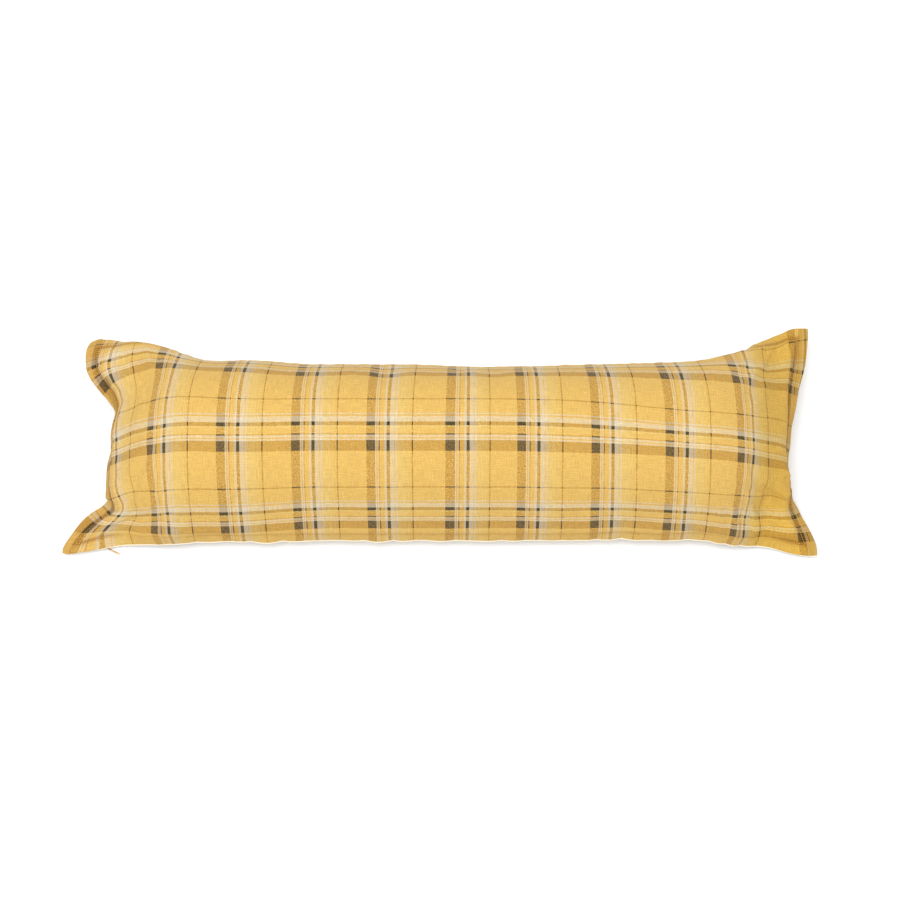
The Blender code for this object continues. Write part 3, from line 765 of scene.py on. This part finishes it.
def stripes(graph, place, wander, repeat, first, yarns):
    """Looks up a yarn's colour and kind at a wandering place in mm, in a table that repeats."""
    along = graph.linear(wander, STRIPE_WANDER, place)
    phase = graph.math("DIVIDE", graph.math("SUBTRACT", along, first), repeat)
    colour = graph.node("ValToRGB", {0: graph.math("FRACT", phase)}, "Color")
    ramp = colour.node.color_ramp
    ramp.interpolation = "CONSTANT"
    while len(ramp.elements) < len(yarns):
        ramp.elements.new(1.0)
    for element, (start, yarn) in zip(ramp.elements, yarns):
        yarn_colour, kind = YARNS[yarn]
        element.position = start / repeat
        element.color = yarn_colour + (kind,)
    return colour, colour.node.outputs["Alpha"]


def weave_height(graph, p, q, pitch):
    """Height of a plain weave: the sine across the warp yarns times the sine across the weft's.

    Each crossing stands up where one yarn is on top, and its neighbours lie low.
    """
    turns = math.pi / pitch
    return graph.times(*(graph.math("SINE", graph.times(place, turns)) for place in (p, q)))


def cloth_places(graph):
    """The flat places p and q in metres, from the cloth's own map."""
    flat = graph.node("UVMap", {}, uv_map="flat cloth")
    p = graph.node("SeparateXYZ", {0: flat})
    return p, p.node.outputs[1]


def cloth_bump(graph, weave, grain):
    """Bump of the weave and of the grain's noise."""
    return graph.bump(0.55, 0.35 * MM, graph.linear(grain, 0.8, graph.times(weave, 0.35)))


def plaid_cloth(sizes, colours):
    """Yarn-dyed plaid: warp and weft stripes show through each other, half and half.

    Each place mixes its warp yarn and its weft yarn by the weave and by noise. Two dark yarns
    over each other, and cream over a dark one, have colours of their own.
    """
    graph = Graph("plaid cloth")
    p, q = cloth_places(graph)
    from_left = graph.linear(p, 1000.0, 500.0 * sizes.flat_length)
    left_part = graph.math("LESS_THAN", from_left, WARP_SPREAD[0])
    warp_place = graph.linear(left_part, WARP_SPREAD[1], from_left)
    weft_place = graph.linear(q, -1000.0, 500.0 * sizes.flat_width)
    wander = graph.math("SUBTRACT", graph.noise(p, q, *WANDER), 0.5)
    warp_colour, warp_kind = stripes(graph, warp_place, wander, WARP_REPEAT, WARP_FIRST, WARP)
    weft_colour, weft_kind = stripes(graph, weft_place, wander, WEFT_REPEAT, WEFT_FIRST, WEFT)

    weave = weave_height(graph, p, q, sizes.yarn_pitch)
    grain = graph.noise(p, q, *GRAIN)
    share = graph.linear(weave, WEAVE_SHARE, graph.linear(grain, *GRAIN_SHARE))
    twill = graph.noise(graph.math("ADD", p, q), graph.math("SUBTRACT", p, q), *TWILL)
    share = graph.math("ADD", share, graph.linear(twill, *TWILL_SHARE))
    share = graph.node("Clamp", {0: share})
    colour = graph.mix(share, warp_colour, weft_colour)

    both_dark = graph.times(warp_kind, weft_kind)
    depth = graph.share(both_dark, *CROSSING_DEPTH)
    crossing = graph.mix(depth, rgba(SMOKE_OVER_SMOKE), rgba(COAL_OVER_COAL))
    speckle = graph.linear(share, *SPECKLE)
    crossing = graph.mix(1.0, crossing, graph.rgb(speckle, speckle, speckle), "MULTIPLY")
    colour = graph.mix(graph.math("GREATER_THAN", both_dark, DARK_CROSSING), colour, crossing)
    warp_over = graph.times(warp_kind, graph.math("SUBTRACT", 1.0, weft_kind))
    weft_over = graph.times(weft_kind, graph.math("SUBTRACT", 1.0, warp_kind))
    pale_on_dark = graph.math("GREATER_THAN", graph.math("ADD", warp_over, weft_over), CREAM_CROSSING)
    colour = graph.mix(pale_on_dark, colour, rgba(CREAM_OVER_DARK))
    # Painted shade: the right end darkens as if it lay further from the lamp's light
    painted_end_shade = graph.share(from_left, *PAINTED_END_SHADE_PLACES)
    colour = graph.mix(painted_end_shade, colour, graph.mix(1.0, colour, rgba(PAINTED_END_SHADE), "MULTIPLY"))

    slub = graph.slub(p, q, *SLUBS)
    tone = graph.times(graph.linear(slub, *SLUB_TONE), graph.linear(grain, *GRAIN_TONE))
    tone = graph.times(graph.times(tone, graph.linear(twill, *TWILL_TONE)), colours.cloth_level)
    # Painted shade of the seam's groove and the flange darkens the cloth's tone, most in blue
    painted_seam_shade = graph.node("Attribute", {}, "Fac", attribute_name="painted_seam_shade")
    tone_and_painted_shade = graph.rgb(*(graph.times(tone, graph.linear(painted_seam_shade, -shade, 1.0)) for shade in PAINTED_GROOVE_SHADE))
    return graph.finish(
        Base_Color=graph.mix(1.0, colour, tone_and_painted_shade, "MULTIPLY"), Normal=cloth_bump(graph, weave, grain),
        Roughness=0.9, Specular_IOR_Level=0.10, Sheen_Weight=0.05, Sheen_Roughness=0.5)


def cream_cloth(sizes, colours):
    """Plain cream cloth of the same weave, with slubs."""
    graph = Graph("cream cloth")
    p, q = cloth_places(graph)
    weave = weave_height(graph, p, q, sizes.yarn_pitch)
    grain = graph.noise(p, q, *CREAM_GRAIN)
    pale = graph.share(graph.linear(graph.slub(p, q, *CREAM_SLUBS), 0.4, grain), 0.5, 1.3)
    return graph.finish(
        Base_Color=graph.mix(pale, rgba(colours.back, 0.84), rgba(colours.back, 1.08)),
        Normal=cloth_bump(graph, weave, grain),
        Roughness=0.9, Specular_IOR_Level=0.18, Sheen_Weight=0.1, Sheen_Roughness=0.5)


def object_places(graph):
    """Object coordinates in mm."""
    source = graph.node("TexCoord", {}, "Object")
    return graph.node("VectorMath", {0: source, "Scale": 1000.0}, operation="SCALE")


def sewing_thread(colours):
    """Twisted thread: fine slanted bands, slightly glossy."""
    graph = Graph("sewing thread")
    inputs = {"Vector": object_places(graph), "Scale": 1.1, "Distortion": 1.5}
    twist = graph.node("TexWave", inputs, 1, bands_direction="DIAGONAL")
    return graph.finish(
        Base_Color=graph.mix(twist, rgba(colours.thread, 0.72), rgba(colours.thread)),
        Normal=graph.bump(0.5, 0.1 * MM, twist), Roughness=0.6, Specular_IOR_Level=0.3)


def aged_brass(colours):
    """Brass with darker tarnish in blotches and fine scratches that roughen it."""
    graph = Graph("aged brass")
    place = object_places(graph)
    blotch = graph.node("TexNoise", {"Vector": place, "Scale": 0.5, "Detail": 4.0})
    scratch = graph.node("TexNoise", {"Vector": place, "Scale": 5.0, "Detail": 6.0})
    tarnish = graph.share(blotch, 0.42, 0.62)
    return graph.finish(
        Base_Color=graph.mix(tarnish, rgba(colours.brass), rgba(colours.brass, 0.38)),
        Normal=graph.bump(0.25, 0.05 * MM, scratch), Roughness=graph.linear(scratch, 0.35, 0.16),
        Metallic=1.0)


# ---- Operators

class PILLOW_OT_front_panel(bpy.types.Operator):
    """Front panel: plaid cloth over the crown, and the upper layers of the flange"""
    bl_idname = "pillow.front_panel"
    bl_label = "Front Panel"

    def execute(self, context):
        sizes, colours = context.scene.pillow_sizes, context.scene.pillow_colours
        sheet, p, q, _ = front_sheet(sizes, settled=True)
        piece = make_piece("front_panel", sheet, grid_faces(*sheet.shape[:2]),
                           plaid_cloth(sizes, colours), flat_map(p, q, FRONT_ROWS))
        paint_seam_shade(piece, p, q)
        hand_over(piece, ["pillow"])
        return {"FINISHED"}


class PILLOW_OT_back_panel(bpy.types.Operator):
    """Back panel: cream cloth that lies on the surface, and the lower layers of the flange"""
    bl_idname = "pillow.back_panel"
    bl_label = "Back Panel"

    def execute(self, context):
        sizes, colours = context.scene.pillow_sizes, context.scene.pillow_colours
        _, bottom, p, q = sewn_panels(sizes, 2.0 * sizes.cloth_grid)
        sheet = with_flange(sizes, bottom, p, q, BACK_ROWS, -SEAM_RISE, NEAR_LIP)
        sheet += front_sheet(sizes)[3]
        sheet[..., 2] = np.maximum(sheet[..., 2], 0.0)
        piece = make_piece("back_panel", sheet, grid_faces(*sheet.shape[:2])[:, ::-1],
                           cream_cloth(sizes, colours), flat_map(p, q, BACK_ROWS))
        hand_over(piece, ["pillow"])
        return {"FINISHED"}


def seam_loop(sizes):
    """The seam's points round the pillow and back to the first, and the normals there."""
    sheet = front_sheet(sizes)[0]
    count = len(FRONT_ROWS)

    def ring(grid):
        body = grid[count:-count, count:-count]
        return np.concatenate((body[:-1, 0], body[-1, :-1], body[:0:-1, -1], body[0, ::-1]))

    return ring(sheet), ring(sheet_normals(sheet))


class PILLOW_OT_seam_stitches(bpy.types.Operator):
    """Seam stitches: a row of short threads sunk in the seam all round"""
    bl_idname = "pillow.seam_stitches"
    bl_label = "Seam Stitches"

    def execute(self, context):
        sizes, colours = context.scene.pillow_sizes, context.scene.pillow_colours
        line, normals = seam_loop(sizes)
        run = lengths_along(line)
        number = int(run[-1] / sizes.stitch_pitch)
        middle = (np.arange(number) + 0.5) * run[-1] / number

        def at(values, place):
            return np.stack([np.interp(place, run, values[:, axis]) for axis in range(3)], -1)

        half = STITCH_HALF * sizes.stitch_pitch
        along = unit(at(line, middle + half) - at(line, middle - half))
        up = unit(at(normals, middle))
        up = unit(up - along * (up * along).sum(-1, keepdims=True))
        centre, along, across, up = (
            part[:, None, None, :] for part in (at(line, middle), along, np.cross(up, along), up))
        # A ring's radius is the root of 1 less its share of the half length squared, to a power
        share = np.cos(np.linspace(np.pi, 0.0, STITCH_RINGS))
        radius = np.sqrt(np.clip(1.0 - share ** 2, 0.0, 1.0)) ** STITCH_BLUNT * STITCH_RADIUS
        angle = 2.0 * np.pi * np.arange(STITCH_SIDES) / STITCH_SIDES
        ring = np.cos(angle)[None, :, None] * across + np.sin(angle)[None, :, None] * up
        points = (centre + STITCH_RISE * up + half * share[None, :, None, None] * along
                  + radius[None, :, None, None] * ring)
        bead = tube_faces(STITCH_RINGS, STITCH_SIDES)
        faces = (np.arange(number)[:, None, None] * STITCH_RINGS * STITCH_SIDES + bead).reshape(-1, 4)
        piece = make_piece("seam_stitches", points, faces, sewing_thread(colours))
        hand_over(piece, ["pillow"])
        return {"FINISHED"}


class PILLOW_OT_zip(bpy.types.Operator):
    """Zip: the slim pull that shows under the flange, and the slider's finish"""
    bl_idname = "pillow.zip"
    bl_label = "Zip Pull"

    def execute(self, context):
        brass = aged_brass(context.scene.pillow_colours)
        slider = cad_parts["zip_slider"]
        slider.data.materials.clear()
        slider.data.materials.append(brass)
        piece = make_piece("zip_pull_tab", pull_surface(), tube_faces(PULL_RINGS, PULL_SIDES), brass)
        hand_over(piece, ["zip_pull"])
        return {"FINISHED"}


def rounded(wave):
    """A sine or cosine raised to the pull's power, with its sign kept."""
    return np.sign(wave) * np.abs(wave) ** PULL_ROUND


def pull_surface():
    """The slim pull: a rounded bar carried from its head to its tip.

    The half width passes from the head through a slim neck to the tip, and the ends close with
    a quarter circle. The section is a superellipse.
    """
    low, high = np.array(PULL_BOX)
    start = np.array((low[0] + PULL_HEAD, high[1] - PULL_HEAD, high[2] - 0.6 * PULL_THICK))
    tip = np.array((high[0] - PULL_TIP, low[1] + PULL_TIP, low[2] + 0.6 * PULL_THICK))
    along = unit(tip - start)
    across = unit(np.cross((0.0, 0.0, 1.0), along))
    up = np.cross(along, across)
    length = np.linalg.norm(tip - start)
    share = 0.5 - 0.5 * np.cos(np.linspace(0.0, np.pi, PULL_RINGS))
    place = -PULL_HEAD + share * (length + PULL_HEAD + PULL_TIP)
    head = np.sqrt(np.clip(PULL_HEAD ** 2 - place ** 2, 0.0, None))
    end = np.sqrt(np.clip(PULL_TIP ** 2 - np.clip(place - length, 0.0, None) ** 2, 0.0, None))
    neck = PULL_NECK + (PULL_TIP - PULL_NECK) * np.clip(place / length, 0.0, 1.0) ** 2
    half = np.maximum(head, np.where(place < 0.0, 0.0, np.minimum(neck, end)))
    depth = 0.5 * PULL_THICK * np.clip(half / (0.5 * PULL_THICK), 0.0, 1.0)
    angle = 2.0 * np.pi * np.arange(PULL_SIDES) / PULL_SIDES
    return (start + place[:, None, None] * along
            + (half[:, None] * rounded(np.cos(angle)))[..., None] * across
            + (depth[:, None] * rounded(np.sin(angle)))[..., None] * up)


class PILLOW_OT_stage(bpy.types.Operator):
    """Stage: floor, soft light and the camera"""
    bl_idname = "pillow.stage"
    bl_label = "Stage"

    def execute(self, context):
        scene = context.scene
        points = np.array(((-1, -1, -1), (1, -1, -1), (1, 1, -1), (-1, 1, -1)))
        points = points * (FLOOR_HALF, FLOOR_HALF, FLOOR_DEPTH)
        matt = Graph("plain floor").finish(
            Base_Color=rgba(scene.pillow_colours.floor), Roughness=1.0, Specular_IOR_Level=0.0)
        floor = make_piece("floor", points, np.array(((0, 1, 2, 3),)), matt)

        world = bpy.data.worlds.new("soft daylight")
        world.use_nodes = True
        sky = world.node_tree.nodes["Background"].inputs
        sky["Color"].default_value, sky["Strength"].default_value = DAYLIGHT, DAYLIGHT_STRENGTH
        scene.world = world
        lamp = bpy.data.lights.new("window", "AREA")
        lamp.shape, lamp.size, lamp.energy = "DISK", WINDOW_SIZE, WINDOW_WATTS
        window = bpy.data.objects.new("window", lamp)
        window.location = WINDOW_AT
        window.rotation_euler = window.location.to_track_quat("Z", "Y").to_euler()
        scene.collection.objects.link(window)

        elevation = math.radians(CAMERA_ELEVATION)
        back = np.array((0.0, -math.cos(elevation), math.sin(elevation)))
        camera = bpy.data.objects.new("camera", bpy.data.cameras.new("camera"))
        camera.data.lens, camera.data.sensor_width = LENS, SENSOR
        camera.location = CAMERA_AIM + CAMERA_DISTANCE * back
        camera.rotation_euler = (0.5 * math.pi - elevation, 0.0, 0.0)
        scene.collection.objects.link(camera)
        scene.camera = camera
        scene.view_settings.view_transform = "Standard"
        return {"FINISHED"}


class PILLOW_PT_panel(bpy.types.Panel):
    """Sizes, colours and buttons of the pillow"""
    bl_idname = "PILLOW_PT_panel"
    bl_label = "Lumbar Pillow"
    bl_space_type = "VIEW_3D"
    bl_region_type = "UI"
    bl_category = "Pillow"

    def draw(self, context):
        for group in (context.scene.pillow_sizes, context.scene.pillow_colours):
            for name in group.__annotations__:
                self.layout.prop(group, name)
        for operator in OPERATORS:
            self.layout.operator(operator.bl_idname)


OPERATORS = (
    PILLOW_OT_front_panel,
    PILLOW_OT_back_panel,
    PILLOW_OT_seam_stitches,
    PILLOW_OT_zip,
    PILLOW_OT_stage,
)
CLASSES = (PillowSizes, PillowColours, *OPERATORS, PILLOW_PT_panel)


def register():
    for item in CLASSES:
        bpy.utils.register_class(item)
    bpy.types.Scene.pillow_sizes = bpy.props.PointerProperty(type=PillowSizes)
    bpy.types.Scene.pillow_colours = bpy.props.PointerProperty(type=PillowColours)


def unregister():
    del bpy.types.Scene.pillow_colours
    del bpy.types.Scene.pillow_sizes
    for item in reversed(CLASSES):
        bpy.utils.unregister_class(item)


def main():
    register()
    bpy.ops.pillow.front_panel()
    bpy.ops.pillow.back_panel()
    bpy.ops.pillow.seam_stitches()
    bpy.ops.pillow.zip()
    bpy.ops.pillow.stage()


if __name__ == "__main__":
    main()
